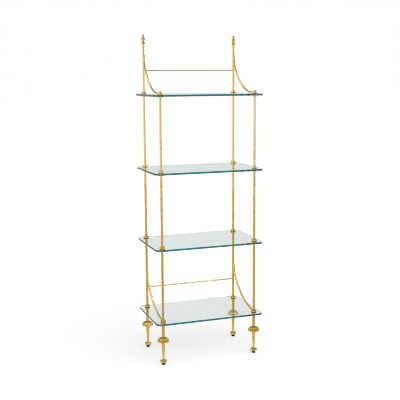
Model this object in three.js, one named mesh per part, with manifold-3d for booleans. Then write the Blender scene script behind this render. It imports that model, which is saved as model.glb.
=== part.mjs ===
// A glass and gilt-iron etagere: four drilled glass shelves on four jointed posts.
// Millimetres, +Z up. The front faces -Y, +X is to the right of someone who faces it,
// and the origin lies on the floor under the middle of the shelves.

import * as THREE from "three";
import { mergeVertices } from "three/addons/utils/BufferGeometryUtils.js";
import Module from "manifold-3d";

// Plan of the corners, between post centres
const postSpacingX = 540;
const postSpacingY = 310;

// Glass shelves
const shelfCount = 4;
const bottomShelfHeight = 236.5;
const shelfPitch = 411;
const glassThickness = 10;
const glassOverhangX = 42.5;
const glassOverhangY = 40;
const glassCornerRadius = 30;
const glassHolePlay = 2;

// Gap that is left between pieces that slide or screw into each other
const clearance = 0.3;

// Posts, and the stud that each one carries through the glass above it
const postDiameter = 13;
const postWall = 2.2;
const postPlug = 12;
const studEngagement = 20;

// Collars that hold the glass: a plain flange below, a stepped ring above
const flangeHeight = 6;
const flangeEase = 1.5;
const collarHeight = 14;
const collarBodyHeight = 9.5;
const collarEase = 1.5;
const collarFloor = 5;
const collarNeckWall = 3.2;
const collarRim = 5;

// Caps that end the front posts on the top shelf
const capStudLength = 12;
const capRoof = 5.5;
const capCrown = 3.5;

// Rear uprights above the top shelf, and their finials
const galleryRise = 262.5;
const finialStudLength = 12;
const finialFootHeight = 15;
const finialBeadRim = 1;
const finialBeadHeight = 6;
const finialNeckWall = 1.7;
const finialRadius = 11.5;
const finialBudHeight = 53;
// Radius and height of the disc, waist, bud, neck and ball tip, from the foot up
const finialShares = [
  [0.55, 0],
  [0.84, 0.07],
  [0.92, 0.14],
  [0.8, 0.2],
  [0.5, 0.27],
  [0.46, 0.32],
  [0.68, 0.4],
  [0.95, 0.48],
  [1, 0.54],
  [0.84, 0.62],
  [0.5, 0.68],
  [0.33, 0.74],
  [0.43, 0.82],
  [0.48, 0.89],
  [0.34, 0.97],
  [0, 1],
];

// Braces: bent rods from a rear post to the collar in front of it. The top pair is bent
// deeper than the bottom pair, and lies flat on the glass before it meets the collar.
const braceDiameter = 11;
const braceRiseShare = 0.834;
const braceStraight = 30;
const topBraceFlat = 47;
const topBraceUpperPull = 60;
const topBraceLowerPullShare = 0.5;
const bottomBraceFlat = 2;
const bottomBraceUpperPull = 20;
const bottomBraceLowerPullShare = 0.66;

// Rails between the rear corners
const railDiameter = 7;
const topRailRiseShare = 0.507;
const bottomRailRiseShare = 0.476;

// Legs: a disc foot, a tapering rod, and a neck that wears the cast knop
const padGap = 1;
const footHeight = 14;
const footUndersideRim = 6.7;
const footFlare = 8.7;
const footBoreRoof = 1.5;
const footShares = [
  [0, 0],
  [0.62, 0.22],
  [1, 0.5],
  [1, 0.8],
  [0.85, 1],
];
const taperFootRadius = 5;
const taperMidRadius = 6.4;
const taperMidShare = 0.27;
const legNeckRadius = 8.5;
const knopSeatRim = 2.5;
const knopSeatHeight = 129.5;

// Cast knops: eight swelling lobes round a hub
const knopRadius = 34;
const knopHeight = 27;
const knopHubRim = 3;
const knopTopRim = 1.6;
const knopLobes = 8;
const knopFurrowShare = 0.13;
const knopShares = [
  [0.68, 0.03],
  [0.92, 0.08],
  [1, 0.2],
  [0.97, 0.36],
  [0.88, 0.55],
  [0.76, 0.7],
  [0.54, 0.84],
  [0.38, 0.93],
];

// Levelling feet
const levelStudDiameter = 8;
const levelTopGap = 0.7;
const padHeight = 9;
const padWall = 5.7;
const padFloor = 3;
const padEase = 1;

// Facets round a rod, a turned piece, a knop, a brace and a glass corner
const rodSides = 12;
const turnedSides = 16;
const knopSides = 32;
const braceSides = 8;
const braceSteps = 14;
const glassCurveSteps = 5;

// Radii and heights that follow from the sizes above
const postRadius = postDiameter / 2;
const boreRadius = postRadius - postWall;
const studRadius = boreRadius - clearance;
const collarNeckRadius = postRadius + clearance + collarNeckWall;
const collarRadius = collarNeckRadius + collarRim;
const postX = postSpacingX / 2;
const postY = postSpacingY / 2;
const topShelf = shelfCount - 1;
const studReach = collarFloor + studEngagement;

const shelfMid = (shelf) => bottomShelfHeight + shelf * shelfPitch;
const glassTop = (shelf) => shelfMid(shelf) + glassThickness / 2;
const glassBottom = (shelf) => shelfMid(shelf) - glassThickness / 2;
const postSeat = (shelf) => glassTop(shelf) + collarFloor;

const giltIron = new THREE.MeshStandardMaterial({ color: 0xc39a4e, roughness: 0.35, metalness: 1 });
const clearGlass = new THREE.MeshStandardMaterial({ color: 0xcfe3dc, roughness: 0.05, metalness: 0 });
const blackPlastic = new THREE.MeshStandardMaterial({ color: 0x141414, roughness: 0.6, metalness: 0 });
const zincSteel = new THREE.MeshStandardMaterial({ color: 0x9a9c9e, roughness: 0.4, metalness: 1 });

const wasm = await Module();
wasm.setup();

// A closed geometry as a solid that can be cut
function solidOf(geometry) {
  const bare = geometry.clone();
  bare.deleteAttribute("normal");
  bare.deleteAttribute("uv");
  const merged = mergeVertices(bare);
  return new wasm.Manifold(
    new wasm.Mesh({
      numProp: 3,
      vertProperties: merged.attributes.position.array,
      triVerts: new Uint32Array(merged.index.array),
    }),
  );
}

// What is left of a geometry after the cutters are taken out of it
function cut(geometry, cutters) {
  let solid = solidOf(geometry);
  for (const cutter of cutters) {
    solid = solid.subtract(solidOf(cutter));
  }
  const mesh = solid.getMesh();
  const left = new THREE.BufferGeometry();
  left.setAttribute("position", new THREE.BufferAttribute(mesh.vertProperties, 3));
  left.setIndex(new THREE.BufferAttribute(mesh.triVerts, 1));
  left.computeVertexNormals();
  return left;
}

// A profile of [radius, height] points turned round the Z axis
function turned(profile, sides) {
  const points = profile.map(([radius, height]) => new THREE.Vector2(radius, height));
  return new THREE.LatheGeometry(points, sides).rotateX(Math.PI / 2);
}

// A solid round bar that stands on the floor of its own frame
function bar(radius, height, sides) {
  return new THREE.CylinderGeometry(radius, radius, height, sides)
    .rotateX(Math.PI / 2)
    .translate(0, 0, height / 2);
}

function named(name, geometry, material, x, y, z) {
  const mesh = new THREE.Mesh(geometry, material);
  mesh.name = name;
  mesh.position.set(x, y, z);
  return mesh;
}

// One drilled plate with rounded corners, its underside at height 0
function glassPlate() {
  const halfX = postX + glassOverhangX;
  const halfY = postY + glassOverhangY;
  const cornerX = halfX - glassCornerRadius;
  const cornerY = halfY - glassCornerRadius;
  const outline = new THREE.Shape()
    .moveTo(-cornerX, -halfY)
    .absarc(cornerX, -cornerY, glassCornerRadius, -Math.PI / 2, 0)
    .absarc(cornerX, cornerY, glassCornerRadius, 0, Math.PI / 2)
    .absarc(-cornerX, cornerY, glassCornerRadius, Math.PI / 2, Math.PI)
    .absarc(-cornerX, -cornerY, glassCornerRadius, Math.PI, 1.5 * Math.PI);
  const holeRadius = studRadius + glassHolePlay;
  for (const x of [-postX, postX]) {
    for (const y of [-postY, postY]) {
      outline.holes.push(new THREE.Path().absarc(x, y, holeRadius, 0, 2 * Math.PI, true));
    }
  }
  return new THREE.ExtrudeGeometry(outline, {
    depth: glassThickness,
    bevelEnabled: false,
    curveSegments: glassCurveSteps,
  });
}

// The top of a post or leg that reaches the glass at height top: the flange and the stud
function flangeAndStud(top, studLength) {
  return [
    [collarRadius - flangeEase, top - flangeHeight],
    [collarRadius, top - flangeHeight + flangeEase],
    [collarRadius, top],
    [studRadius, top],
    [studRadius, top + studLength],
    [0, top + studLength],
  ];
}

// A tube that screws on to the stud below it and carries the flange and stud above
function post(studAboveGlass) {
  const length = shelfPitch - glassThickness - collarFloor;
  const boreDepth = length - flangeHeight - postPlug;
  return turned(
    [
      [0, boreDepth],
      [boreRadius, boreDepth],
      [boreRadius, 0],
      [postRadius, 0],
      [postRadius, length - flangeHeight],
      ...flangeAndStud(length, glassThickness + studAboveGlass),
    ],
    rodSides,
  );
}

// A rear upright on the top shelf, which ends in a stud for its finial
function upright() {
  const length = galleryRise - glassThickness / 2 - collarFloor;
  const boreDepth = length - postPlug;
  return turned(
    [
      [0, boreDepth],
      [boreRadius, boreDepth],
      [boreRadius, 0],
      [postRadius, 0],
      [postRadius, length],
      [studRadius, length],
      [studRadius, length + finialStudLength],
      [0, length + finialStudLength],
    ],
    rodSides,
  );
}

// The outer side of a collar, up to the step round its neck
function collarBody() {
  return [
    [collarRadius, 0],
    [collarRadius, collarBodyHeight - collarEase],
    [collarRadius - collarEase, collarBodyHeight],
    [collarNeckRadius, collarBodyHeight],
  ];
}

// A stepped ring: the stud passes its floor, and the end of the post sits in its cup
function collar() {
  const cupRadius = postRadius + clearance;
  return turned(
    [
      [boreRadius, 0],
      ...collarBody(),
      [collarNeckRadius, collarHeight],
      [cupRadius, collarHeight],
      [cupRadius, collarFloor],
      [boreRadius, collarFloor],
      [boreRadius, 0],
    ],
    rodSides,
  );
}

// A collar with a low dome instead of a cup, screwed on to the end of the stud
function cap() {
  const boreDepth = capStudLength + clearance;
  const height = boreDepth + capRoof;
  return turned(
    [
      [0, boreDepth],
      [boreRadius, boreDepth],
      [boreRadius, 0],
      ...collarBody(),
      [collarNeckRadius, height - capCrown],
      [collarNeckRadius * Math.SQRT1_2, height - capCrown * (1 - Math.SQRT1_2)],
      [0, height],
    ],
    rodSides,
  );
}

// A turned finial on a hollow foot
function finial() {
  const boreDepth = finialStudLength + clearance;
  const beadRadius = postRadius + finialBeadRim;
  const neckRadius = boreRadius + finialNeckWall;
  return turned(
    [
      [0, boreDepth],
      [boreRadius, boreDepth],
      [boreRadius, 0],
      [postRadius, 0],
      [beadRadius, finialBeadHeight / 3],
      [beadRadius, (finialBeadHeight * 2) / 3],
      [neckRadius, finialBeadHeight],
      [neckRadius, finialFootHeight],
      ...finialShares.map(([radius, height]) => [
        radius * finialRadius,
        finialFootHeight + height * finialBudHeight,
      ]),
    ],
    turnedSides,
  );
}

// A leg, with height 0 at the underside of its foot
function leg() {
  const base = padHeight + padGap;
  const boreWidth = levelStudDiameter / 2 + clearance;
  const boreDepth = footHeight - footBoreRoof;
  const underside = boreWidth + footUndersideRim;
  const seat = knopSeatHeight - base;
  const top = glassBottom(0) - base;
  return turned(
    [
      [0, boreDepth],
      [boreWidth, boreDepth],
      [boreWidth, 0],
      ...footShares.map(([radius, height]) => [underside + radius * footFlare, height * footHeight]),
      [taperFootRadius, footHeight],
      [taperMidRadius, footHeight + taperMidShare * (seat - footHeight)],
      [legNeckRadius + knopSeatRim, seat],
      [legNeckRadius, seat],
      [legNeckRadius, top - flangeHeight],
      ...flangeAndStud(top, glassThickness + studReach),
    ],
    turnedSides,
  );
}

// A cast knop that slides over the leg's neck, its lobes drawn in by furrows
function knop() {
  const holeRadius = legNeckRadius + clearance;
  const hubRadius = holeRadius + knopHubRim;
  const topRadius = holeRadius + knopTopRim;
  const geometry = turned(
    [
      [holeRadius, 0],
      [hubRadius, 0],
      ...knopShares.map(([radius, height]) => [radius * knopRadius, height * knopHeight]),
      [topRadius, knopHeight],
      [holeRadius, knopHeight],
      [holeRadius, 0],
    ],
    knopSides,
  );
  const place = geometry.attributes.position;
  for (let i = 0; i < place.count; i++) {
    const x = place.getX(i);
    const y = place.getY(i);
    const swell = Math.max(0, Math.hypot(x, y) - hubRadius) / (knopRadius - hubRadius);
    const furrow = (1 - Math.cos(knopLobes * Math.atan2(y, x))) / 2;
    const keep = 1 - knopFurrowShare * furrow * swell;
    place.setXY(i, x * keep, y * keep);
  }
  return geometry;
}

// A brace in the plane of its two posts, with height 0 at mid glass. It runs straight down
// the rear post, bends forward, lies flat, and is coped to the front collar.
function brace({ flat, upperPull, lowerPullShare }) {
  const radius = braceDiameter / 2;
  const rearY = postY - postRadius - clearance - radius;
  const topZ = galleryRise * braceRiseShare;
  const bendZ = topZ - braceStraight;
  const footZ = glassThickness / 2 + clearance + radius;
  const flatY = flat - postY;
  const path = new THREE.CurvePath();
  path.add(new THREE.LineCurve3(new THREE.Vector3(0, rearY, topZ), new THREE.Vector3(0, rearY, bendZ)));
  path.add(
    new THREE.CubicBezierCurve3(
      new THREE.Vector3(0, rearY, bendZ),
      new THREE.Vector3(0, rearY, bendZ - upperPull),
      new THREE.Vector3(0, flatY + (rearY - flatY) * lowerPullShare, footZ),
      new THREE.Vector3(0, flatY, footZ),
    ),
  );
  path.add(new THREE.LineCurve3(new THREE.Vector3(0, flatY, footZ), new THREE.Vector3(0, -postY, footZ)));
  const section = new THREE.Shape().absarc(0, 0, radius, 0, 2 * Math.PI);
  const rod = new THREE.ExtrudeGeometry(section, {
    steps: braceSteps,
    curveSegments: braceSides / 2,
    extrudePath: path,
  });
  const cutter = bar(collarRadius + clearance, topZ, rodSides).translate(0, -postY, 0);
  return cut(rod, [cutter]);
}

// A rail between the rear posts, coped to both
function rail() {
  const length = postSpacingX;
  const rod = bar(railDiameter / 2, length, rodSides).rotateY(Math.PI / 2).translate(-postX, 0, 0);
  const cutters = [-postX, postX].map((x) =>
    bar(postRadius + clearance, railDiameter * 2, rodSides).translate(x, 0, -railDiameter),
  );
  return cut(rod, cutters);
}

// A round pad with a socket for the end of its stud
function pad() {
  const socketRadius = levelStudDiameter / 2 + clearance;
  const padRadius = socketRadius + padWall;
  return turned(
    [
      [0, 0],
      [padRadius - padEase, 0],
      [padRadius, padEase],
      [padRadius, padHeight],
      [socketRadius, padHeight],
      [socketRadius, padFloor],
      [0, padFloor],
    ],
    rodSides,
  );
}

const etagere = new THREE.Group();

// Shelves, bays and corners, named as someone in front of the piece would call them
const shelfNames = ["bottom", "lower", "upper", "top"];
const bayNames = ["bottom_bay", "middle_bay", "top_bay"];
const corners = [
  { name: "front_left", x: -postX, y: -postY, rear: false },
  { name: "front_right", x: postX, y: -postY, rear: false },
  { name: "rear_left", x: -postX, y: postY, rear: true },
  { name: "rear_right", x: postX, y: postY, rear: true },
];

for (let shelf = 0; shelf < shelfCount; shelf++) {
  const name = "glass_shelf_" + shelfNames[shelf];
  etagere.add(named(name, glassPlate(), clearGlass, 0, 0, glassBottom(shelf)));
}

for (const corner of corners) {
  const stack = new THREE.Group();
  stack.position.set(corner.x, corner.y, 0);
  etagere.add(stack);

  const legBase = padHeight + padGap;
  const levelStudBase = padFloor + clearance;
  const levelStudTop = legBase + footHeight - footBoreRoof - levelTopGap;
  const levelStud = bar(levelStudDiameter / 2, levelStudTop - levelStudBase, rodSides);
  stack.add(named("leveller_pad_" + corner.name, pad(), blackPlastic, 0, 0, 0));
  stack.add(named("leveller_stud_" + corner.name, levelStud, zincSteel, 0, 0, levelStudBase));
  stack.add(named("leg_" + corner.name, leg(), giltIron, 0, 0, legBase));
  stack.add(named("knop_" + corner.name, knop(), giltIron, 0, 0, knopSeatHeight));

  for (let bay = 0; bay < topShelf; bay++) {
    const endsInCap = bay === topShelf - 1 && !corner.rear;
    const tube = post(endsInCap ? capStudLength : studReach);
    const collarName = "collar_" + corner.name + "_" + shelfNames[bay] + "_shelf";
    stack.add(named(collarName, collar(), giltIron, 0, 0, glassTop(bay)));
    stack.add(named("post_" + corner.name + "_" + bayNames[bay], tube, giltIron, 0, 0, postSeat(bay)));
  }

  if (corner.rear) {
    const finialBase = shelfMid(topShelf) + galleryRise;
    const collarName = "collar_" + corner.name + "_top_shelf";
    stack.add(named(collarName, collar(), giltIron, 0, 0, glassTop(topShelf)));
    stack.add(named("upright_" + corner.name, upright(), giltIron, 0, 0, postSeat(topShelf)));
    stack.add(named("finial_" + corner.name, finial(), giltIron, 0, 0, finialBase));
  } else {
    stack.add(named("cap_" + corner.name, cap(), giltIron, 0, 0, glassTop(topShelf)));
  }
}

// The top and the bottom shelf each have two braces and a rear rail
const galleries = [
  {
    level: "bottom",
    base: shelfMid(0),
    railRise: galleryRise * bottomRailRiseShare,
    bend: { flat: bottomBraceFlat, upperPull: bottomBraceUpperPull, lowerPullShare: bottomBraceLowerPullShare },
  },
  {
    level: "top",
    base: shelfMid(topShelf),
    railRise: galleryRise * topRailRiseShare,
    bend: { flat: topBraceFlat, upperPull: topBraceUpperPull, lowerPullShare: topBraceLowerPullShare },
  },
];
for (const { level, base, railRise, bend } of galleries) {
  etagere.add(named("brace_" + level + "_left", brace(bend), giltIron, -postX, 0, base));
  etagere.add(named("brace_" + level + "_right", brace(bend), giltIron, postX, 0, base));
  etagere.add(named("rail_" + level + "_rear", rail(), giltIron, 0, postY, base + railRise));
}

export default etagere;
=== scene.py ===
import math

import bmesh
import bpy
import numpy as np
from mathutils import Matrix, Vector


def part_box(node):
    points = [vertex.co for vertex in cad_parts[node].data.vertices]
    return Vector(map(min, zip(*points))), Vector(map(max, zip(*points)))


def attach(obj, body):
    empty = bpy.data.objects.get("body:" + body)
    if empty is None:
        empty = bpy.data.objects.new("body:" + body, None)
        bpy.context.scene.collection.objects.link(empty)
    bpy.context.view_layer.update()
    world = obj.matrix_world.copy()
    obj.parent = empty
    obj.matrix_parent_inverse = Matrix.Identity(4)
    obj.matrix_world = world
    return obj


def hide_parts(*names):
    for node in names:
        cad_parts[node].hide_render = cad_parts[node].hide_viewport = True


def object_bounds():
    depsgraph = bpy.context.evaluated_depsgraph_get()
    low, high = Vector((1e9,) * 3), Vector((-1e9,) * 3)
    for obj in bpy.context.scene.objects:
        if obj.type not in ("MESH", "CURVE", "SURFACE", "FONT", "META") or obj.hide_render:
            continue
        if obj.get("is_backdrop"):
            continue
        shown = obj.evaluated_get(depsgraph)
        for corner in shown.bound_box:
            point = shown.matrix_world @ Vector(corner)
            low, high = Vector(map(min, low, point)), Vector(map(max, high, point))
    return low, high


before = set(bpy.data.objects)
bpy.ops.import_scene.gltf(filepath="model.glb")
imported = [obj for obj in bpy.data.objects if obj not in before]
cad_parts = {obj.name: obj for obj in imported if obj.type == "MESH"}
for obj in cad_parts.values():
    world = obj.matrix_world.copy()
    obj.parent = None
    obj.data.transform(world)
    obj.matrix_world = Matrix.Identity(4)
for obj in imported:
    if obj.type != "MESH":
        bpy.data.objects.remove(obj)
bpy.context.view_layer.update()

# A glass and gilt-iron etagere, dressed piece by piece from the floor up. Lengths are in millimetres
# until put() turns them into metres, and every piece takes its place from the node that it replaces.
MM = 0.001
CORNERS = ("front_left", "front_right", "rear_left", "rear_right")


# Levelling pads: black nylon, moulded round a socket for the stud, with shallow flutes to turn them by
# hand. Each rests on the floor, and the lower end of its stud turns in it.
PAD_SOCKET = 4.3
PAD_FLOOR = 3.0
PAD_DISH = 0.5
PAD_TREAD = 1.6
PAD_TAPER = 0.5
PAD_EASE = 0.8
PAD_FLUTES = 20
PAD_FLUTE_DEPTH = 0.35
PAD_SIDES = 120
NYLON_BLACK = (0.004, 0.004, 0.0045, 1)
NYLON_SCUFFED = (0.02, 0.02, 0.021, 1)
# Points of an outline that lie closer than this are one, and corners that turn by fewer degrees stay sharp
SAME_SPOT = 0.001
GENTLE_TURN = 20.0
EASE_STEPS = 4


def foot_of(node):
    """Where the axis of a turned node meets its underside."""
    lo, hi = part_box(node)
    return Vector(((lo.x + hi.x) / 2, (lo.y + hi.y) / 2, lo.z)) / MM


def height_of(node):
    lo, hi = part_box(node)
    return (hi.z - lo.z) / MM


def radius_of(node):
    lo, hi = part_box(node)
    return (hi.x - lo.x) / 2 / MM


def eased(outline, ease):
    """An outline with its corners rounded, each by no more than half of the shorter side next to it."""
    soft = [outline[0]]
    for before, corner, after in zip(outline, outline[1:], outline[2:]):
        here = Vector(corner)
        back = Vector(before) - here
        on = Vector(after) - here
        if back.angle(-on) < math.radians(GENTLE_TURN):
            soft.append(corner)
            continue
        reach = min(ease, back.length / 2, on.length / 2)
        start = here + back.normalized() * reach
        end = here + on.normalized() * reach
        for step in range(EASE_STEPS + 1):
            share = step / EASE_STEPS
            soft.append(tuple(start.lerp(here, share).lerp(here.lerp(end, share), share)))
    return soft + [outline[-1]]


def paced(outline, pace):
    """The same outline with points added, so that no stretch of it is longer than pace."""
    filled = [outline[0]]
    for before, after in zip(outline, outline[1:]):
        start = Vector(before)
        end = Vector(after)
        count = max(1, math.ceil((end - start).length / pace))
        filled += [tuple(start.lerp(end, step / count)) for step in range(1, count + 1)]
    return filled


def turned(outline, sides=48, pace=2.0):
    """A solid of revolution from (radius, height) points that run from axis to axis or close up."""
    outline = paced(outline, pace)
    bm = bmesh.new()
    verts = [bm.verts.new((radius, 0, height)) for radius, height in outline]
    edges = [bm.edges.new(pair) for pair in zip(verts, verts[1:])]
    bmesh.ops.spin(bm, geom=verts + edges, cent=(0, 0, 0), axis=(0, 0, 1), angle=math.tau, steps=sides)
    bmesh.ops.remove_doubles(bm, verts=bm.verts, dist=SAME_SPOT)
    return bm


def put(name, bm, place, finish, body, slot, *nodes, crisp=35):
    """Make a piece of a shape in millimetres, at its place, in its finish, riding on its body."""
    bmesh.ops.recalc_face_normals(bm, faces=bm.faces)
    bm.transform(Matrix.Scale(MM, 4) @ Matrix.Translation(place))
    mesh = bpy.data.meshes.new(name)
    bm.to_mesh(mesh)
    bm.free()
    mesh.shade_smooth()
    mesh.set_sharp_from_angle(angle=math.radians(crisp))
    mesh.materials.append(finish)
    piece = bpy.data.objects.new(name, mesh)
    bpy.context.scene.collection.objects.link(piece)
    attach(piece, body)
    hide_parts(*nodes)
    return piece


class Wire:
    """An output of a node tree that takes part in plain sums, each step of which adds a Math node."""

    def __init__(self, finish, socket):
        self.finish = finish
        self.socket = socket

    def combined(self, operation, first, second):
        return self.finish.node("Math", {"operation": operation}, {0: first, 1: second})

    def __add__(self, other):
        return self.combined("ADD", self, other)

    def __sub__(self, other):
        return self.combined("SUBTRACT", self, other)

    def __rsub__(self, other):
        return self.combined("SUBTRACT", other, self)

    def __mul__(self, other):
        return self.combined("MULTIPLY", self, other)

    __radd__ = __add__
    __rmul__ = __mul__


class Finish:
    """The node tree of a material or of the world, which grows by one node a call."""

    def __init__(self, owner):
        self.owner = owner
        owner.use_nodes = True
        self.tree = owner.node_tree
        self.tree.nodes.clear()

    def node(self, kind, settings={}, sockets={}, output=0):
        made = self.tree.nodes.new("ShaderNode" + kind)
        for setting, value in settings.items():
            setattr(made, setting, value)
        for socket, value in sockets.items():
            if isinstance(value, Wire):
                self.tree.links.new(value.socket, made.inputs[socket])
            else:
                made.inputs[socket].default_value = value
        return Wire(self, made.outputs[output]) if len(made.outputs) else made

    def noise(self, spot, scale, detail=3.0, roughness=0.55):
        """Cloudy noise from 0 to 1, with scale in patches a metre."""
        sockets = {"Vector": spot, "Scale": scale, "Detail": detail, "Roughness": roughness}
        return self.node("TexNoise", {}, sockets)

    def rising(self, value, low, high):
        """A mask that climbs softly from 0 to 1 while value goes from low to high."""
        return self.node("MapRange", {"interpolation_type": "SMOOTHSTEP"}, {0: value, 1: low, 2: high})

    def mixed(self, mask, below, above):
        """One colour where the mask is 0 and the other where it is 1."""
        return self.node("Mix", {"data_type": "RGBA"}, {0: mask, 6: below, 7: above}, output=2)

    def bumped(self, height, distance, strength=1.0):
        """A normal that a height from 0 to 1 lifts by distance, in metres."""
        return self.node("Bump", {}, {"Height": height, "Distance": distance, "Strength": strength})


def black_nylon():
    """Moulded nylon: a fine spark-eroded grain, scuffed paler where it has been handled."""
    finish = Finish(bpy.data.materials.new("black_nylon"))
    spot = finish.node("TexCoord", output="Object")
    grain = finish.noise(spot, scale=2500.0, detail=2.0)
    rubs = finish.noise(spot, scale=260.0, detail=6.0, roughness=0.7)
    scuff = finish.rising(rubs, low=0.52, high=0.75)
    shader = finish.node("BsdfPrincipled", {}, {
        "Base Color": finish.mixed(scuff, NYLON_BLACK, NYLON_SCUFFED),
        "Roughness": 0.6 + 0.2 * scuff,
        "Normal": finish.bumped(grain, distance=0.00008),
        "Specular IOR Level": 0.1,
    })
    finish.node("OutputMaterial", {}, {"Surface": shader})
    return finish.owner


nylon = black_nylon()
for corner in CORNERS:
    node = "leveller_pad_" + corner
    radius = radius_of(node)
    height = height_of(node)
    outline = [
        (0, PAD_DISH),
        (radius - PAD_TREAD - 2 * PAD_DISH, PAD_DISH),
        (radius - PAD_TREAD - PAD_DISH, 0),
        (radius - PAD_EASE, 0),
        (radius, PAD_EASE),
        (radius - PAD_TAPER, height),
        (PAD_SOCKET, height),
        (PAD_SOCKET, PAD_FLOOR),
        (0, PAD_FLOOR),
    ]
    pad = turned(eased(outline, PAD_EASE), PAD_SIDES)
    for vert in pad.verts:
        across = math.hypot(vert.co.x, vert.co.y)
        if across > radius - PAD_TAPER - PAD_EASE and PAD_EASE < vert.co.z < height - PAD_EASE / 2:
            flute = (1 - math.cos(PAD_FLUTES * math.atan2(vert.co.y, vert.co.x))) / 2
            vert.co.xy *= 1 - flute * PAD_FLUTE_DEPTH / radius
    put("moulded_pad_" + corner, pad, foot_of(node), nylon, "pad_" + corner, "black_plastic", node)


# Levelling studs: zinc-plated steel, 8 mm across with a coarse thread. Each screws into the foot of its
# leg, and its lower end turns in the pad.
THREAD_PITCH = 1.25
THREAD_DEPTH = 0.62
THREAD_ROWS = 6
# How far from the middle of the groove to the middle of the crest the root ends and the crest starts
THREAD_ROOT_SHARE = 0.15625
THREAD_CREST_SHARE = 0.78125
STUD_CHAMFER = 0.7
STUD_SIDES = 32
ZINC_BRIGHT = (0.62, 0.63, 0.65, 1)
ZINC_DULL = (0.34, 0.35, 0.38, 1)


def thread_rows(radius, low, high):
    """Points up the side of a bar, close enough together for a thread to be cut into it."""
    count = round((high - low) / THREAD_PITCH * THREAD_ROWS)
    return [(radius, low + (high - low) * row / count) for row in range(count + 1)]


def threaded(bm, low, high, crest):
    """Cut a right-hand thread into the side of a turned bar between two heights."""
    for vert in bm.verts:
        across = math.hypot(vert.co.x, vert.co.y)
        if low <= vert.co.z <= high and abs(across - crest) < THREAD_DEPTH / 4:
            turn = math.atan2(vert.co.y, vert.co.x) / math.tau
            away = abs(2 * ((vert.co.z / THREAD_PITCH - turn) % 1) - 1)
            flank = (THREAD_CREST_SHARE - away) / (THREAD_CREST_SHARE - THREAD_ROOT_SHARE)
            groove = min(1, max(0, flank))
            vert.co.xy *= 1 - groove * THREAD_DEPTH / across


def zinc_plate():
    """Bright zinc with the faint blue-grey clouds that plating leaves."""
    finish = Finish(bpy.data.materials.new("zinc_plate"))
    spot = finish.node("TexCoord", output="Object")
    cloud = finish.noise(spot, scale=400.0, detail=5.0)
    shader = finish.node("BsdfPrincipled", {}, {
        "Base Color": finish.mixed(cloud, ZINC_DULL, ZINC_BRIGHT),
        "Metallic": 1.0,
        "Roughness": 0.28 + 0.2 * cloud,
        "Normal": finish.bumped(finish.noise(spot, scale=3000.0), distance=0.00003),
    })
    finish.node("OutputMaterial", {}, {"Surface": shader})
    return finish.owner


zinc = zinc_plate()
for corner in CORNERS:
    node = "leveller_stud_" + corner
    radius = radius_of(node)
    height = height_of(node)
    low = STUD_CHAMFER
    high = height - STUD_CHAMFER
    outline = [(0, 0), (radius - STUD_CHAMFER, 0), *thread_rows(radius, low, high)]
    outline += [(radius - STUD_CHAMFER, height), (0, height)]
    stud = turned(outline, STUD_SIDES)
    threaded(stud, low, high, radius)
    put("threaded_stud_" + corner, stud, foot_of(node), zinc, "stud_" + corner, "zinc_steel", node)


# Legs: turned iron, gilt all over. A dished disc foot takes the levelling stud, a slim taper rises from it
# and swells into the knop's seat, and the neck above ends in a flange and in a screw through the glass.
LEG_SCREW_HOLE = 4.3
LEG_SCREW_DEPTH = 12.5
FOOT_HEIGHT = 14.0
FOOT_UNDERSIDE = 11.0
FOOT_RADIUS = 19.7
# Radius beyond the underside and height of the foot's side, from the floor up
FOOT_SHARES = [(0, 0), (0.34, 0.07), (0.72, 0.26), (0.95, 0.46), (1, 0.62), (0.98, 0.78)]
FOOT_STEPS = 4
FOOT_SHOULDER = 17.8
FOOT_HOLLOW = 9.0
FOOT_HOLLOW_SINK = 1.0
ANKLE_RADIUS = 5.2
ANKLE_RISE = 1.6
TAPER_MID_RADIUS = 6.4
TAPER_MID_RISE = 44.0
TAPER_HIGH_RADIUS = 8.8
TAPER_HIGH_RISE = 88.0
SEAT_RADIUS = 11.0
SEAT_RISE = 119.5
TAPER_STEPS = 5
NECK_RADIUS = 8.5
FLANGE_RADIUS = 15.0
FLANGE_HEIGHT = 6.0
FLANGE_EASE = 1.2
SCREW_RADIUS = 4.0
GLASS_THICKNESS = 10.0

GOLD = (0.74, 0.47, 0.112, 1)
GOLD_PALE = (0.86, 0.68, 0.33, 1)
GOLD_DEEP = (0.54, 0.28, 0.04, 1)
UMBER_GLAZE_AND_SHADE = (0.13, 0.062, 0.018, 1)
# Patches a metre in the leaf, in the clouds of glaze, in its flecks and across the lines of drawing
LEAF_PATCHES = 55.0
CLOUD_PATCHES = 150.0
FLECK_PATCHES = 1100.0
STREAK_PATCHES = 900.0
STREAK_SQUASH = 0.04
# Where each mask starts and where it is full. The first is in metres above the floor.
PALER_UPWARD_RANGE = (0.3, 1.5)
GLAZE_AND_SHADE_RANGE = (0.36, 1.2)
FLECK_RANGE = (0.66, 0.78)
PALE_RANGE = (0.6, 0.93)
DEEP_RANGE = (0.5, 0.72)
# How sharply a surface bends where it stops being flat, and where it is wholly hollow or proud. The bend
# is blurred over its neighbours a few times first.
FLAT_BEND = 0.1
SHARP_BEND = 0.35
BEND_BLURS = 2


def flowing(points, steps):
    """A Catmull-Rom curve through the points, in so many steps between each two of them."""
    knots = [Vector(point) for point in points]
    knots = [2 * knots[0] - knots[1], *knots, 2 * knots[-1] - knots[-2]]
    curve = []
    for a, b, c, d in zip(knots, knots[1:], knots[2:], knots[3:]):
        for step in range(steps):
            t = step / steps
            squared = 2 * a - 5 * b + 4 * c - d
            cubed = 3 * b - a - 3 * c + d
            twice = 2 * b + (c - a) * t + squared * t**2 + cubed * t**3
            curve.append(tuple(twice / 2))
    return curve + [tuple(knots[-2])]


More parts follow.
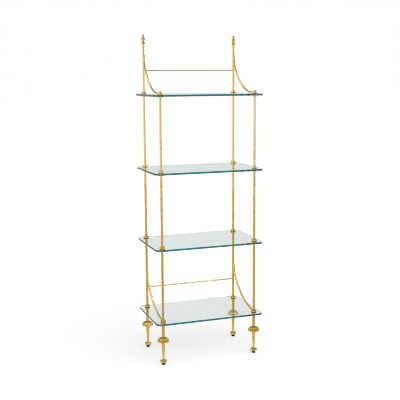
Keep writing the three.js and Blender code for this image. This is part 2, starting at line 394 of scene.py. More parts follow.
def flange_and_screw(seat, screw_length):
    """The flange that the glass lies on, at height seat, and the screw that goes on up through it."""
    tip = seat + screw_length
    flange = [
        (FLANGE_RADIUS, seat - FLANGE_HEIGHT),
        (FLANGE_RADIUS, seat),
        (SCREW_RADIUS, seat),
    ]
    return flange, [
        *thread_rows(SCREW_RADIUS, seat, seat + GLASS_THICKNESS),
        (SCREW_RADIUS, tip - STUD_CHAMFER),
        (SCREW_RADIUS - STUD_CHAMFER, tip),
        (0, tip),
    ]


def gilt(name, scale=1.0, drawn=0.0, cast=0.0, paler_upward=1.0, paler_overall=0.0, stained=0.0):
    """Gold leaf on metal, laid in small overlapping pieces and toned with a brown glaze.

    The glaze stays in the hollows and in thin clouds. The same umber is painted shade on the crowns of the
    knops and round the feet of the collars, and darkens the upper joints of the top braces. The leaf is
    rubbed pale on what stands proud, and is paler towards the top of the stand.
    """
    finish = Finish(bpy.data.materials.new(name))
    spot = finish.node("TexCoord", output="Object")
    # The hollow mask also holds painted shade on knops and collars, and the darker stretch on the top
    # braces.
    hollow = finish.node("Attribute", {"attribute_name": "hollow"}, output="Fac")
    proud = finish.node("Attribute", {"attribute_name": "proud"}, output="Fac")
    above_floor = finish.node("SeparateXYZ", {}, {0: spot}, output="Z")
    # The leaf is paler towards the top of the stand, and the braces and rails are paler all over.
    paleness = paler_overall + paler_upward * finish.rising(above_floor, *PALER_UPWARD_RANGE)
    along = finish.node("Mapping", {}, {"Vector": spot, "Scale": (1.0, 1.0, STREAK_SQUASH)})
    leaf = finish.noise(spot, LEAF_PATCHES * scale, detail=2.0)
    cloud = finish.noise(spot, CLOUD_PATCHES * scale, detail=5.0, roughness=0.62)
    speck = finish.noise(spot, FLECK_PATCHES, detail=3.0, roughness=0.7)
    streak = finish.noise(along, STREAK_PATCHES, detail=2.0)
    # Umber glaze in hollows and clouds, together with the painted shade that is added to the hollow mask.
    glaze_and_shade = finish.rising(hollow + 0.5 * cloud + stained, *GLAZE_AND_SHADE_RANGE)
    fleck = finish.rising(speck, *FLECK_RANGE)
    toned = finish.mixed(finish.rising(leaf + 0.5 * paleness, *PALE_RANGE), GOLD, GOLD_PALE)
    toned = finish.mixed(finish.rising(cloud - 0.2 * paleness, *DEEP_RANGE), toned, GOLD_DEEP)
    toned = finish.mixed(glaze_and_shade, toned, UMBER_GLAZE_AND_SHADE)
    toned = finish.mixed(0.4 * fleck, toned, UMBER_GLAZE_AND_SHADE)
    toned = finish.mixed(0.6 * proud, toned, GOLD_PALE)
    relief = 0.5 * leaf + 0.3 * speck + (0.1 + drawn) * streak + cast * cloud
    shader = finish.node("BsdfPrincipled", {}, {
        "Base Color": toned,
        "Metallic": 1.0 - 0.35 * glaze_and_shade,
        "Roughness": 0.16 + 0.12 * cloud + 0.25 * glaze_and_shade + 0.16 * cast - 0.05 * proud,
        "Normal": finish.bumped(relief, distance=0.00012 + 0.0002 * cast, strength=0.6),
    })
    finish.node("OutputMaterial", {}, {"Surface": shader})
    return finish.owner


def weathered_and_darkened(piece, place, darker_by_height):
    """Note on each vertex how hollow and how proud it lies, from 0 to 1, by how the surface bends there.

    The extra darkening, which is painted shade on knops and collars and a plain darker stretch on the top
    braces, adds to the hollow from the height of a spot on the piece.
    """
    mesh = piece.data
    spots = np.empty(len(mesh.vertices) * 3)
    normals = np.empty(len(mesh.vertices) * 3)
    ends = np.empty(len(mesh.edges) * 2, dtype=int)
    mesh.vertices.foreach_get("co", spots)
    mesh.vertices.foreach_get("normal", normals)
    mesh.edges.foreach_get("vertices", ends)
    spots = spots.reshape(-1, 3)
    normals = normals.reshape(-1, 3)
    first, second = ends.reshape(-1, 2).T
    reach = spots[second] - spots[first]
    length = np.linalg.norm(reach, axis=1)
    degree = np.bincount(ends, minlength=len(spots))

    def gathered(at_first, at_second):
        total = np.bincount(first, at_first, len(spots)) + np.bincount(second, at_second, len(spots))
        return total / degree

    rise = 2 * MM * reach / length[:, None] ** 2
    bend = np.clip(gathered((rise * normals[first]).sum(1), -(rise * normals[second]).sum(1)), -1, 1)
    for _ in range(BEND_BLURS):
        bend = (bend + gathered(bend[second], bend[first])) / 2
    # Painted shade on knops and collars, and the darker stretch on the top braces, count here as hollow.
    if darker_by_height:
        bend += np.clip(darker_by_height(spots[:, 2] / MM - place[2]), 0, 1) * (1 - bend)
    for name, depth in (("hollow", bend), ("proud", -bend)):
        layer = mesh.attributes.new(name, "FLOAT", "POINT")
        share = np.clip((depth - FLAT_BEND) / (SHARP_BEND - FLAT_BEND), 0, 1)
        layer.data.foreach_set("value", share.astype(np.float32))


def gild(name, bm, place, finish, *nodes, crisp=35, darker_by_height=None):
    """Put a gilt piece on the stand, weathered as its shape says, and darkened further where asked."""
    piece = put(name, bm, place, finish, "stand", "gilt_metal", *nodes, crisp=crisp)
    weathered_and_darkened(piece, place, darker_by_height)
    return piece


turned_gilt = gilt("turned_gilt_iron")
for corner in CORNERS:
    node = "leg_" + corner
    flare = FOOT_RADIUS - FOOT_UNDERSIDE
    base = foot_of("glass_shelf_bottom").z - foot_of(node).z
    reach = height_of(node) - base
    bore = [(0, LEG_SCREW_DEPTH), (LEG_SCREW_HOLE, LEG_SCREW_DEPTH), (LEG_SCREW_HOLE, 0)]
    side = [(FOOT_UNDERSIDE + out * flare, up * FOOT_HEIGHT) for out, up in FOOT_SHARES]
    disc = bore + flowing(side, FOOT_STEPS)
    taper = flowing([
        (FOOT_SHOULDER, FOOT_HEIGHT),
        (FOOT_HOLLOW, FOOT_HEIGHT - FOOT_HOLLOW_SINK),
        (ANKLE_RADIUS, FOOT_HEIGHT + ANKLE_RISE),
        (ANKLE_RADIUS, FOOT_HEIGHT + 3 * ANKLE_RISE),
        (TAPER_MID_RADIUS, TAPER_MID_RISE),
        (TAPER_HIGH_RADIUS, TAPER_HIGH_RISE),
        (SEAT_RADIUS, SEAT_RISE),
    ], TAPER_STEPS)
    flange, screw = flange_and_screw(base, reach)
    neck = eased([
        (SEAT_RADIUS, SEAT_RISE),
        (NECK_RADIUS, SEAT_RISE),
        (NECK_RADIUS, base - FLANGE_HEIGHT),
        *flange,
    ], FLANGE_EASE)
    # The ends of the neck are already points of the taper and of the screw
    leg = turned(disc + taper + neck[1:-1] + screw)
    threaded(leg, base + THREAD_PITCH / 2, base + GLASS_THICKNESS, SCREW_RADIUS)
    gild("turned_leg_" + corner, leg, foot_of(node), turned_gilt, node)


# Knops: cast brass flowers, gilt, that slide down the leg's neck on to its seat. Eight drooping petals
# swell between deep furrows that fade out towards the hub, and each has a shallow crease down its middle.
KNOP_HOLE = 8.8
KNOP_HUB = 11.8
KNOP_PETALS = 8
KNOP_FURROW_SHARE = 0.22
KNOP_CREASE_SHARE = 0.02
KNOP_CREASE_WIDTH_SHARE = 0.09
KNOP_CREASE_FADE = 3
KNOP_DROOP = 1.3
KNOP_TOP_SHARE = 0.96
KNOP_TOP_EASE = 0.8
KNOP_SIDES = 192
KNOP_STEPS = 5
KNOP_HEIGHT = height_of("knop_front_left")
# Radius and height of the flower's side, from the curl under its rim to the foot of its top
KNOP_SHARES = [
    (0.5, 0.07), (0.72, 0.045), (0.9, 0.03), (0.985, 0.1), (1, 0.2),
    (0.97, 0.36), (0.885, 0.54), (0.75, 0.7), (0.55, 0.84), (0.4, 0.925),
]
# Painted shade on the crown of each flower, from a third of the way up and darkest at the top.
KNOP_PAINTED_SHADE = 0.27
KNOP_SHADE_LOW_SHARE = 0.35
KNOP_SHADE_HIGH_SHARE = 0.95


def painted_shade_round_hub(up):
    """Painted shade, darkest on the crown of the flower, which thins out down the petals."""
    climb = (up / KNOP_HEIGHT - KNOP_SHADE_LOW_SHARE) / (KNOP_SHADE_HIGH_SHARE - KNOP_SHADE_LOW_SHARE)
    return KNOP_PAINTED_SHADE * climb


cast_gilt = gilt("cast_gilt_brass", scale=1.3, cast=0.5, paler_upward=0.0, stained=0.06)
for corner in CORNERS:
    node = "knop_" + corner
    radius = radius_of(node)
    middle = (KNOP_HOLE, KNOP_HEIGHT / 2)
    flower = flowing([(out * radius, up * KNOP_HEIGHT) for out, up in KNOP_SHARES], KNOP_STEPS)
    outline = [
        middle,
        (KNOP_HOLE, 0),
        (KNOP_HUB, 0),
        (KNOP_HUB, KNOP_SHARES[0][1] * KNOP_HEIGHT / 2),
        *flower,
        (KNOP_HUB, KNOP_HEIGHT * KNOP_TOP_SHARE),
        (KNOP_HUB - KNOP_TOP_EASE, KNOP_HEIGHT),
        (KNOP_HOLE, KNOP_HEIGHT),
        middle,
    ]
    knop = turned(outline, KNOP_SIDES)
    for vert in knop.verts:
        across = math.hypot(vert.co.x, vert.co.y)
        swell = max(0, across - KNOP_HUB) / (radius - KNOP_HUB)
        aside = (math.atan2(vert.co.y, vert.co.x) / math.tau * KNOP_PETALS + 0.5) % 1 - 0.5
        furrow = 1 - math.sqrt(1 - (2 * aside) ** 2)
        crease = math.exp(-((aside / KNOP_CREASE_WIDTH_SHARE) ** 2))
        crease *= min(1, KNOP_CREASE_FADE * (1 - swell))
        vert.co.xy *= 1 - swell * (KNOP_FURROW_SHARE * furrow + KNOP_CREASE_SHARE * crease)
        vert.co.z += KNOP_DROOP * swell**2 * furrow * (1 - vert.co.z / KNOP_HEIGHT)
    gild("cast_knop_" + corner, knop, foot_of(node), cast_gilt, node, crisp=50, darker_by_height=painted_shade_round_hub)


# Shelves: clear float glass with ground and polished edges, rounded at the corners and drilled for the
# four screws. A long way through it turns teal, which is why the edges are green and the faces are not.
GLASS_CORNER = 30.0
GLASS_CORNER_STEPS = 16
GLASS_ARRIS = 0.25
GLASS_HOLE = 6.0
GLASS_HOLE_STEPS = 32
GLASS_ABSORBS = (0.0, 0.636, 0.622, 1)
GLASS_DENSITY = 11.0
GLASS_IOR = 1.52
GLASS_CLEAN = (1.0, 0.962, 0.962, 1)
GLASS_MARKED = (0.985, 0.952, 0.952, 1)


def arc(centre, radius, start, sweep, steps):
    """Points round a centre, from one angle through a sweep in quarter turns."""
    angles = [math.pi / 2 * (start + sweep * step / steps) for step in range(steps + 1)]
    return [(centre[0] + radius * math.cos(a), centre[1] + radius * math.sin(a)) for a in angles]


def rimmed(bm, loops):
    """Close the band between loops of points that lie one above the other, and give its two outer rims."""
    rings = [[bm.verts.new(point) for point in loop] for loop in loops]
    for lower, upper in zip(rings, rings[1:]):
        for i in range(len(lower)):
            bm.faces.new((lower[i - 1], lower[i], upper[i], upper[i - 1]))
    return rings[0], rings[-1]


def float_glass():
    """Float glass, polished all over, with a breath of handling marks in its gloss."""
    finish = Finish(bpy.data.materials.new("clear_float_glass"))
    spot = finish.node("TexCoord", output="Object")
    ripple = finish.noise(spot, scale=5.0, detail=1.0)
    smears = finish.noise(spot, scale=38.0, detail=7.0, roughness=0.72)
    marks = finish.rising(smears, low=0.55, high=0.8)
    shader = finish.node("BsdfPrincipled", {}, {
        "Base Color": finish.mixed(marks, GLASS_CLEAN, GLASS_MARKED),
        "Transmission Weight": 1.0,
        "IOR": GLASS_IOR,
        "Roughness": 0.02 * marks,
        "Normal": finish.bumped(ripple, distance=0.0002, strength=0.2),
    })
    depth = finish.node("VolumeAbsorption", {}, {"Color": GLASS_ABSORBS, "Density": GLASS_DENSITY})
    finish.node("OutputMaterial", {}, {"Surface": shader, "Volume": depth})
    return finish.owner


glass = float_glass()
posts = [foot_of("leg_" + corner) for corner in CORNERS]
for shelf in ("bottom", "lower", "upper", "top"):
    node = "glass_shelf_" + shelf
    lo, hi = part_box(node)
    thickness = height_of(node)
    middle = foot_of(node)
    half_x = (hi.x - lo.x) / 2 / MM
    half_y = (hi.y - lo.y) / 2 / MM
    # How far each ridge of the polished edge lies in from it, and how high
    ridges = [(GLASS_ARRIS, 0), (0, GLASS_ARRIS), (0, thickness - GLASS_ARRIS), (GLASS_ARRIS, thickness)]
    bm = bmesh.new()
    edge = []
    for inset, rise in ridges:
        loop = []
        for quarter, (along, across) in enumerate(((1, 1), (-1, 1), (-1, -1), (1, -1))):
            centre = (along * (half_x - GLASS_CORNER), across * (half_y - GLASS_CORNER))
            loop += arc(centre, GLASS_CORNER - inset, quarter, 1, GLASS_CORNER_STEPS)
        edge.append([(x, y, rise) for x, y in loop])
    rims = [rimmed(bm, edge)]
    for post in posts:
        hole = []
        for inset, rise in ridges:
            loop = arc(post - middle, GLASS_HOLE + inset, 0, 4, GLASS_HOLE_STEPS)[:-1]
            hole.append([(x, y, rise) for x, y in loop])
        rims.append(rimmed(bm, hole))
    for rings in zip(*rims):
        around = []
        for ring in rings:
            around += [bm.edges.get((ring[i - 1], ring[i])) for i in range(len(ring))]
        bmesh.ops.triangle_fill(bm, use_beauty=True, edges=around)
    put("polished_glass_" + shelf, bm, middle, glass, "stand", "clear_glass", node, crisp=25)


# Collars: stepped gilt rings that stand on the glass, one to a corner. The screw from below passes the
# floor of the cup, and the post that it draws down sits inside the rim.
COLLAR_HOLE = 4.3
COLLAR_BODY_HEIGHT = 9.5
COLLAR_NECK_RADIUS = 10.0
COLLAR_CUP_RADIUS = 6.8
COLLAR_FLOOR = 5.0
COLLAR_EASE = 1.0
COLLAR_BEVEL = 1.4
COLLAR_SIDES = 64
# Painted shade in a line round the foot of each collar and cap, where it stands on the glass.
COLLAR_PAINTED_SHADE = 0.8
COLLAR_SHADE_HEIGHT = 1.92


def painted_shade_on_glass(up):
    """Painted shade in a thin dark line where a collar meets the glass."""
    return COLLAR_PAINTED_SHADE * (1 - up / COLLAR_SHADE_HEIGHT)


def collar_side(radius):
    """The outer side of a collar or cap, from the glass up to the step round its neck."""
    return [
        (radius, 0),
        (radius, COLLAR_BODY_HEIGHT - COLLAR_BEVEL),
        (radius - COLLAR_BEVEL, COLLAR_BODY_HEIGHT),
        (COLLAR_NECK_RADIUS, COLLAR_BODY_HEIGHT),
    ]


ringed = [corner + "_" + shelf for corner in CORNERS for shelf in ("bottom", "lower", "upper")]
ringed += ["rear_left_top", "rear_right_top"]
for spot in ringed:
    node = "collar_" + spot + "_shelf"
    height = height_of(node)
    middle = (COLLAR_HOLE, COLLAR_FLOOR / 2)
    outline = eased([
        middle,
        (COLLAR_HOLE, 0),
        *collar_side(radius_of(node)),
        (COLLAR_NECK_RADIUS, height),
        (COLLAR_CUP_RADIUS, height),
        (COLLAR_CUP_RADIUS, COLLAR_FLOOR),
        (COLLAR_HOLE, COLLAR_FLOOR),
        middle,
    ], COLLAR_EASE)
    collar = turned(outline, COLLAR_SIDES)
    gild("turned_" + node, collar, foot_of(node), turned_gilt, node, darker_by_height=painted_shade_on_glass)


# Posts: drawn tube, gilt, one to a bay. Each screws down on the screw below it, and a plug in its top
# carries the flange under the next shelf and the screw that goes up through the glass.
POST_RADIUS = 6.5
POST_BORE = 4.3
POST_PLUG = 12.0
POST_EASE = 0.6
POST_PACE = 12.0
SHELF_OVER = {"bottom_bay": "lower", "middle_bay": "upper", "top_bay": "top"}
drawn_gilt = gilt("drawn_gilt_iron", drawn=0.35)
for corner in CORNERS:
    for bay, shelf in SHELF_OVER.items():
        node = "post_" + corner + "_" + bay
        seat = foot_of("glass_shelf_" + shelf).z - foot_of(node).z
        under = seat - FLANGE_HEIGHT
        bore = [(0, under - POST_PLUG), (POST_BORE, under - POST_PLUG), (POST_BORE, 0), (POST_RADIUS, 0)]
        flange, screw = flange_and_screw(seat, height_of(node) - seat)
        low_side = (POST_RADIUS, 2 * FLANGE_EASE)
        high_side = (POST_RADIUS, under - 2 * FLANGE_EASE)
        tube = eased([*bore, low_side], POST_EASE)
        head = eased([high_side, (POST_RADIUS, under), *flange], FLANGE_EASE)
        post = turned(tube + head[:-1] + screw, pace=POST_PACE)
        threaded(post, seat + THREAD_PITCH / 2, seat + GLASS_THICKNESS, SCREW_RADIUS)
        gild("drawn_" + node, post, foot_of(node), drawn_gilt, node)


# Caps: closed collars that end the two front posts on the top shelf. Each screws down on the screw that
# comes up through the glass, and has a low domed crown.
CAP_BORE_DEPTH = 12.3
CAP_CROWN = 3.5
CAP_CROWN_STEPS = 8
for corner in ("front_left", "front_right"):
    node = "cap_" + corner
    height = height_of(node)
    crown = []
    for step in range(1, CAP_CROWN_STEPS + 1):
        angle = math.pi / 2 * step / CAP_CROWN_STEPS
        crown.append((COLLAR_NECK_RADIUS * math.cos(angle), height - CAP_CROWN * (1 - math.sin(angle))))
    outline = eased([
        (0, CAP_BORE_DEPTH),
        (COLLAR_HOLE, CAP_BORE_DEPTH),
        (COLLAR_HOLE, 0),
        *collar_side(radius_of(node)),
        (COLLAR_NECK_RADIUS, height - CAP_CROWN),
        crown[0],
    ], COLLAR_EASE)
    cap = turned(outline[:-1] + crown[:-1] + [(0, height)], COLLAR_SIDES)
    gild("turned_" + node, cap, foot_of(node), turned_gilt, node, darker_by_height=painted_shade_on_glass)


# Rear uprights: the same drawn tube, which carries the two rear corners on above the top shelf and ends
# in a plug and a short screw for the finial.
FINIAL_SCREW = 12.0
for corner in ("rear_left", "rear_right"):
    node = "upright_" + corner
    height = height_of(node)
    length = height - FINIAL_SCREW
    bore = [(0, length - POST_PLUG), (POST_BORE, length - POST_PLUG), (POST_BORE, 0), (POST_RADIUS, 0)]
    tube = eased([*bore, (POST_RADIUS, 2 * POST_EASE)], POST_EASE)
    head = eased([
        (POST_RADIUS, length - 2 * POST_EASE),
        (POST_RADIUS, length),
        (SCREW_RADIUS, length),
        (SCREW_RADIUS, height - STUD_CHAMFER),
        (SCREW_RADIUS - STUD_CHAMFER, height),
        (0, height),
    ], POST_EASE)
    upright = turned(tube + head, pace=POST_PACE)
    gild("drawn_" + node, upright, foot_of(node), drawn_gilt, node)


# Finials: cast and turned brass, gilt. A hollow foot with a bead screws on to the upright, and above it
# are a disc, a waist, a bud and a ball tip. The foot is finished like the tube below it.
FINIAL_BORE_DEPTH = 12.3
FINIAL_BEAD = 7.5
FINIAL_BEAD_HEIGHT = 6.0
FINIAL_BEAD_STEPS = 8
FINIAL_BEAD_FULLNESS = 0.6
FINIAL_NECK = 6.0
FINIAL_FOOT_HEIGHT = 15.0
FINIAL_DISC_SKIRT = 1.0
FINIAL_STEPS = 4
# Radius and height of each turn of the finial, from the disc up
FINIAL_DISC_SHARES = [(0.55, 0), (0.72, 0.015), (0.86, 0.06), (0.92, 0.12), (0.88, 0.17), (0.74, 0.21)]
FINIAL_BUD_SHARES = [
    (0.52, 0.26), (0.46, 0.31), (0.62, 0.39), (0.86, 0.47), (1, 0.54), (0.98, 0.585), (0.8, 0.63),
    (0.48, 0.67), (0.36, 0.715),
]
FINIAL_TIP_SHARES = [(0.4, 0.765), (0.52, 0.82), (0.56, 0.875), (0.48, 0.94), (0.27, 0.985), (0, 1)]
FINIAL_SHARES = FINIAL_DISC_SHARES + FINIAL_BUD_SHARES + FINIAL_TIP_SHARES
for corner in ("rear_left", "rear_right"):
    node = "finial_" + corner
    radius = radius_of(node)
    height = height_of(node)
    rest = height - FINIAL_FOOT_HEIGHT
    bead = []
    for step in range(1, FINIAL_BEAD_STEPS):
        swell = math.sin(math.pi * step / FINIAL_BEAD_STEPS) ** FINIAL_BEAD_FULLNESS
        out = FINIAL_NECK + (FINIAL_BEAD - FINIAL_NECK) * swell
        bead.append((out, FINIAL_BEAD_HEIGHT * step / FINIAL_BEAD_STEPS))
    outline = [
        (0, FINIAL_BORE_DEPTH),
        (POST_BORE, FINIAL_BORE_DEPTH),
        (POST_BORE, 0),
        (FINIAL_NECK, 0),
        *bead,
        (FINIAL_NECK, FINIAL_BEAD_HEIGHT),
        (FINIAL_NECK, FINIAL_FOOT_HEIGHT),
    ]
    turns = [(out * radius, FINIAL_FOOT_HEIGHT + up * rest) for out, up in FINIAL_SHARES]
    finial = turned(outline + flowing(turns, FINIAL_STEPS))
    piece = gild("cast_" + node, finial, foot_of(node), cast_gilt, node, crisp=45)
    piece.data.materials.append(drawn_gilt)
    foot_top = (foot_of(node).z + FINIAL_FOOT_HEIGHT - FINIAL_DISC_SKIRT) * MM
    for face in piece.data.polygons:
        face.material_index = int(face.center.z < foot_top)


# Braces: bent iron rod, gilt. Each runs down its rear post, bends forward over the glass and ends coped
# to the front collar, as far from it as the brazed joint is wide.
BRACE_RADIUS = 5.5
BRAZE_GAP = 0.3
BRACE_STRAIGHT = 30.0
BRACE_STEPS = 72
BRACE_SIDES = 32
BRACE_EASE = 1.6
BRACE_EASE_STEPS = 4
# The top braces are darker over their upper joints.
BRACE_DARKENING = 0.25
BRACE_DARKENING_LENGTH = 40.0
COPE_HALVINGS = 24
# The top pair is bent deeper than the bottom pair, and runs level for a stretch before the collar
BRACE_SHAPES = {
    "bottom": {"flat": 2.0, "upper_pull": 20.0, "lower_pull_share": 0.66},
    "top": {"flat": 47.0, "upper_pull": 60.0, "lower_pull_share": 0.5},
}


def bezier(points, share):
    """A point on the curve that the four points steer."""
    while len(points) > 1:
        points = [a.lerp(b, share) for a, b in zip(points, points[1:])]
    return points[0]


def brace_line(node, flat, upper_pull, lower_pull_share):
    """The middle line of a brace as (y, height) points, from its top end to the axis of the front post."""
    lo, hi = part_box(node)
    front = foot_of("leg_front_left").y
    rear = hi.y / MM - BRACE_RADIUS
    top = hi.z / MM
    low = lo.z / MM + BRACE_RADIUS
    knee = top - BRACE_STRAIGHT
    steer = [
        Vector((rear, knee)),
        Vector((rear, knee - upper_pull)),
        Vector((front + flat + (rear - front - flat) * lower_pull_share, low)),
        Vector((front + flat, low)),
    ]
    line = [Vector((rear, top)), Vector((rear, knee + BRACE_STRAIGHT / 2))]
    line += [bezier(steer, step / BRACE_STEPS) for step in range(BRACE_STEPS + 1)]
    if flat > BRACE_RADIUS:
        line.append(Vector((front + flat / 2, low)))
    return line + [Vector((front, low))]


def rod(line, radius):
    """Rings of points round a line in a plane of one x, each ring square to the line."""
    rings = []
    for i, here in enumerate(line):
        way = (line[min(i + 1, len(line) - 1)] - line[max(i - 1, 0)]).normalized()
        ring = []
        for side in range(BRACE_SIDES):
            angle = math.tau * side / BRACE_SIDES
            out = Vector((-way.y, way.x)) * math.sin(angle) * radius + here
            ring.append(Vector((math.cos(angle) * radius, out.x, out.y)))
        rings.append(ring)
    return rings


def coped(rings, front, reach):
    """Stop the strands of a rod where each meets an upright cylinder of radius reach at y = front."""

    def inside(point):
        return math.hypot(point.x, point.y - front) < reach

    stops = []
    ends = []
    for strand in zip(*rings):
        stop = [inside(point) for point in strand].index(True)
        near = 0.0
        far = 1.0
        for _ in range(COPE_HALVINGS):
            half = (near + far) / 2
            if inside(strand[stop - 1].lerp(strand[stop], half)):
                far = half
            else:
                near = half
        stops.append(stop)
        ends.append(strand[stop - 1].lerp(strand[stop], near))
    return rings[:min(stops)] + [ends]


bent_gilt = gilt("bent_gilt_iron", paler_upward=0.2, paler_overall=0.45)
upper_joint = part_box("brace_top_left")[1].z / MM - BRACE_STRAIGHT


def darker_at_joint(up):
    """A top brace is darker from its upper joint up, and fades back to its plain colour over a short
    stretch below.
    """
    return BRACE_DARKENING * np.clip(1 + (up - upper_joint) / BRACE_DARKENING_LENGTH, 0, 1)


for shelf, shape in BRACE_SHAPES.items():
    for hand in ("left", "right"):
        node = "brace_" + shelf + "_" + hand
        post = foot_of("leg_front_" + hand)
        line = brace_line(node, **shape)
        rings = coped(rod(line, BRACE_RADIUS), post.y, FLANGE_RADIUS + BRAZE_GAP)
        crown = []
        for step in range(BRACE_EASE_STEPS):
            angle = math.pi / 2 * step / BRACE_EASE_STEPS
            shrink = BRACE_EASE * (1 - math.sin(angle)) / BRACE_RADIUS
            drop = Vector((0, 0, BRACE_EASE * (1 - math.cos(angle))))
            ring = [point.lerp(Vector((0, line[0].x, point.z)), shrink) - drop for point in rings[0]]
            crown.append(ring)
        bm = bmesh.new()
        first, last = rimmed(bm, crown + rings[1:])
        bm.faces.new(first)
        hub = bm.verts.new(sum((vert.co for vert in last), Vector()) / len(last))
        for i in range(len(last)):
            bm.faces.new((last[i - 1], last[i], hub))
        darker_by_height = darker_at_joint if shelf == "top" else None
        gild("bent_" + node, bm, (post.x, 0, 0), bent_gilt, node, darker_by_height=darker_by_height)


# Rear rails: thin drawn rod between the rear corners, gilt. The ends are coped to the posts that they are
# brazed to, and stop as far from them as the joint is wide.
RAIL_SIDES = 32
RAIL_STEPS = 40
for shelf in ("bottom", "top"):
    node = "rail_" + shelf + "_rear"
    lo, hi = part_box(node)
    radius = height_of(node) / 2
    middle = Vector((0, (lo.y + hi.y) / 2, (lo.z + hi.z) / 2)) / MM
    span = foot_of("leg_rear_right").x
    cope = POST_RADIUS + BRAZE_GAP
    loops = []
    for step in range(RAIL_STEPS + 1):
        share = 2 * step / RAIL_STEPS - 1
        loop = []
        for side in range(RAIL_SIDES):
            angle = math.tau * side / RAIL_SIDES
            y = radius * math.cos(angle)
            loop.append((share * (span - math.sqrt(cope**2 - y**2)), y, radius * math.sin(angle)))
        loops.append(loop)
    bm = bmesh.new()
    for end in rimmed(bm, loops):
        bm.faces.new(end)
    gild("drawn_" + node, bm, middle, bent_gilt, node)


# Studio: a white sweep in a white room, plain white to the camera, with a faint shadow on the floor. Gloss
# sees what such a room holds: a dim ceiling, bright sides, a soft box overhead and a darker gap on the
# camera's side. From below, the floor is left out, so that the feet can be looked at.
CAMERA_SPOT = (-1468.8, -4099.0, 1557.5)
CAMERA_YAW = 19.765
CAMERA_PITCH = 8.851
CAMERA_ROLL = 0.324
CAMERA_LENS = 70.25
SENSOR_WIDTH = 36.0
SKY_LIGHT = 0.62
SUN_STRENGTH = 1.6
SUN_SOFTNESS = 70.0
SUN_TILT = 30.0
SUN_TURN = 12.0
# Turns are degrees round from the way to the camera, and a spread is the cosines where a mask starts
# and is full
WALL_GLOSS = 0.8
CEILING_GLOSS = 0.4
CEILING_SPREAD = (-0.05, 0.36)
SIDE_GLOSS = 0.3
SIDE_TURN = 75.0
SIDE_SPREAD = (0.3, 0.7)
BOX_GLOSS = 1.2
BOX_TURN = -110.0
BOX_RISE = 75.0
BOX_SPREAD = (0.88, 0.96)
GAP_SHARE = 0.7
GAP_TURN = 24.0
GAP_SPREAD = (0.9, 0.98)
# The floor's lengths are in metres from the middle of the stand. To gloss it shows a painted pool of light
# under the stand and painted shade round it, darkest in the gap on the camera's side, which gives way to
# white far off.
FLOOR_HALF = 60.0
FLOOR_SQUARES = 8
FLOOR_WHITE = 0.85
OPEN_FLOOR = 1.03
SHADOW_SHARE = 0.55
POOL_GLOSS = 0.95
POOL_RANGE = (0.45, 0.75)
NEAR_GLOSS = 0.53
NEAR_RANGE = (1.0, 20.0)


def agreement(finish, way, turn, rise=0.0):
    """The cosine between a way and the one that lies turn degrees round and rise degrees up."""
    turn = math.radians(-90 - CAMERA_YAW + turn)
    rise = math.radians(rise)
    goal = (math.cos(turn) * math.cos(rise), math.sin(turn) * math.cos(rise), math.sin(rise))
    return finish.node("VectorMath", {"operation": "DOT_PRODUCT"}, {0: way, 1: goal}, output="Value")


def kind_of_ray(finish, kind):
    """1 for the rays of one kind, such as Camera or Glossy, and 0 for others."""
    return finish.node("LightPath", output="Is " + kind + " Ray")


camera = bpy.data.objects.new("camera", bpy.data.cameras.new("camera"))
bpy.context.scene.collection.objects.link(camera)
bpy.context.scene.camera = camera
camera.data.sensor_width = SENSOR_WIDTH
camera.data.lens = CAMERA_LENS
camera.data.clip_end = 4 * FLOOR_HALF
look = Matrix.Rotation(math.radians(-CAMERA_YAW), 4, "Z")
look @= Matrix.Rotation(math.radians(90 - CAMERA_PITCH), 4, "X")
look @= Matrix.Rotation(math.radians(-CAMERA_ROLL), 4, "Z")
camera.matrix_world = Matrix.Translation(Vector(CAMERA_SPOT) * MM) @ look

sun = bpy.data.objects.new("soft_daylight", bpy.data.lights.new("soft_daylight", "SUN"))
bpy.context.scene.collection.objects.link(sun)
sun.data.energy = SUN_STRENGTH
sun.data.angle = math.radians(SUN_SOFTNESS)
sun.visible_glossy = False
sun.matrix_world = (
    Matrix.Rotation(math.radians(SUN_TURN), 4, "Z") @ Matrix.Rotation(math.radians(SUN_TILT), 4, "X")
)

world = bpy.data.worlds.new("white_room")
bpy.context.scene.world = world
room = Finish(world)
way = room.node("TexCoord", output="Generated")
up = room.node("SeparateXYZ", {}, {0: way}, output="Z")
wall = 1 - room.rising(up, *CEILING_SPREAD)
gleam = CEILING_GLOSS + (WALL_GLOSS - CEILING_GLOSS) * wall
for turn in (-SIDE_TURN, SIDE_TURN):
    gleam = gleam + SIDE_GLOSS * room.rising(agreement(room, way, turn), *SIDE_SPREAD)
gleam = gleam + BOX_GLOSS * room.rising(agreement(room, way, BOX_TURN, BOX_RISE), *BOX_SPREAD)
bearing = room.node("VectorMath", {"operation": "MULTIPLY"}, {0: way, 1: (1.0, 1.0, 0.0)})
bearing = room.node("VectorMath", {"operation": "NORMALIZE"}, {0: bearing})
gleam = gleam * (1 - GAP_SHARE * room.rising(agreement(room, bearing, GAP_TURN), *GAP_SPREAD))
seen = room.rising(kind_of_ray(room, "Camera") + kind_of_ray(room, "Transmission"), 0.0, 1.0)
unseen = SKY_LIGHT + (gleam - SKY_LIGHT) * kind_of_ray(room, "Glossy")
strength = unseen + (1 - unseen) * seen
backdrop = room.node("Background", {}, {"Color": (1, 1, 1, 1), "Strength": strength})
room.node("OutputWorld", {}, {"Surface": backdrop})

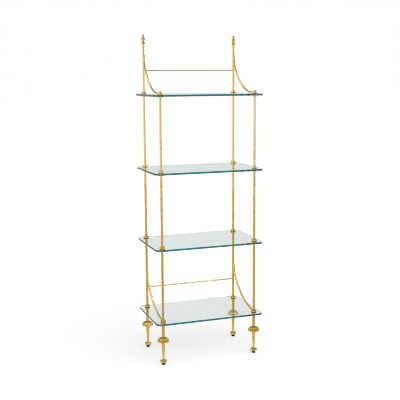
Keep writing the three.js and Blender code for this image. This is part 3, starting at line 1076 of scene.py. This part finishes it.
sweep = Finish(bpy.data.materials.new("white_sweep"))
spot = sweep.node("TexCoord", output="Object")
matte = sweep.node("BsdfDiffuse", {}, {
    "Color": (FLOOR_WHITE, FLOOR_WHITE, FLOOR_WHITE, 1),
    "Normal": sweep.bumped(sweep.noise(spot, scale=3.0), distance=0.0001, strength=0.1),
})
open_floor = FLOOR_WHITE * (SKY_LIGHT + SUN_STRENGTH * math.cos(math.radians(SUN_TILT)) / math.pi)
white = (OPEN_FLOOR - SHADOW_SHARE * open_floor) / (1 - SHADOW_SHARE)
direct = kind_of_ray(sweep, "Camera") + kind_of_ray(sweep, "Transmission")
shown = sweep.rising(direct + kind_of_ray(sweep, "Glossy"), 0.0, 1.0)
seen = sweep.rising(direct, 0.0, 1.0)
away = sweep.node("VectorMath", {"operation": "LENGTH"}, {0: spot}, output="Value")
# Painted shade round the stand and a painted pool of light under it, seen only in gloss.
gleam = NEAR_GLOSS + (1 - NEAR_GLOSS) * sweep.rising(away, *NEAR_RANGE)
pool = 1 - sweep.rising(away, *POOL_RANGE)
bearing = sweep.node("VectorMath", {"operation": "NORMALIZE"}, {0: spot})
gap = sweep.rising(agreement(sweep, bearing, GAP_TURN), *GAP_SPREAD)
gleam = (gleam + (POOL_GLOSS - NEAR_GLOSS) * pool) * (1 - GAP_SHARE * gap * (1 - pool))
glow = sweep.node("Emission", {}, {"Color": (1, 1, 1, 1), "Strength": gleam + (white - gleam) * seen})
keeps = sweep.node("MixShader", {}, {0: SHADOW_SHARE, 1: glow, 2: matte})
lit = sweep.node("MixShader", {}, {0: shown, 1: matte, 2: keeps})
below = sweep.node("NewGeometry", output="Backfacing")
clear = sweep.node("BsdfTransparent")
sweep.node("OutputMaterial", {}, {"Surface": sweep.node("MixShader", {}, {0: below, 1: lit, 2: clear})})

bm = bmesh.new()
bmesh.ops.create_grid(bm, x_segments=FLOOR_SQUARES, y_segments=FLOOR_SQUARES, size=FLOOR_HALF)
floor_mesh = bpy.data.meshes.new("floor")
bm.to_mesh(floor_mesh)
bm.free()
floor_mesh.materials.append(sweep.owner)
floor = bpy.data.objects.new("floor", floor_mesh)
bpy.context.scene.collection.objects.link(floor)
floor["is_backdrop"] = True

scene = bpy.context.scene
scene.view_settings.view_transform = "Standard"
scene.cycles.filter_width = 1.0
scene.cycles.max_bounces = 32
scene.cycles.glossy_bounces = 24
scene.cycles.transmission_bounces = 24
scene.cycles.transparent_max_bounces = 16

lo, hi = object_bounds()
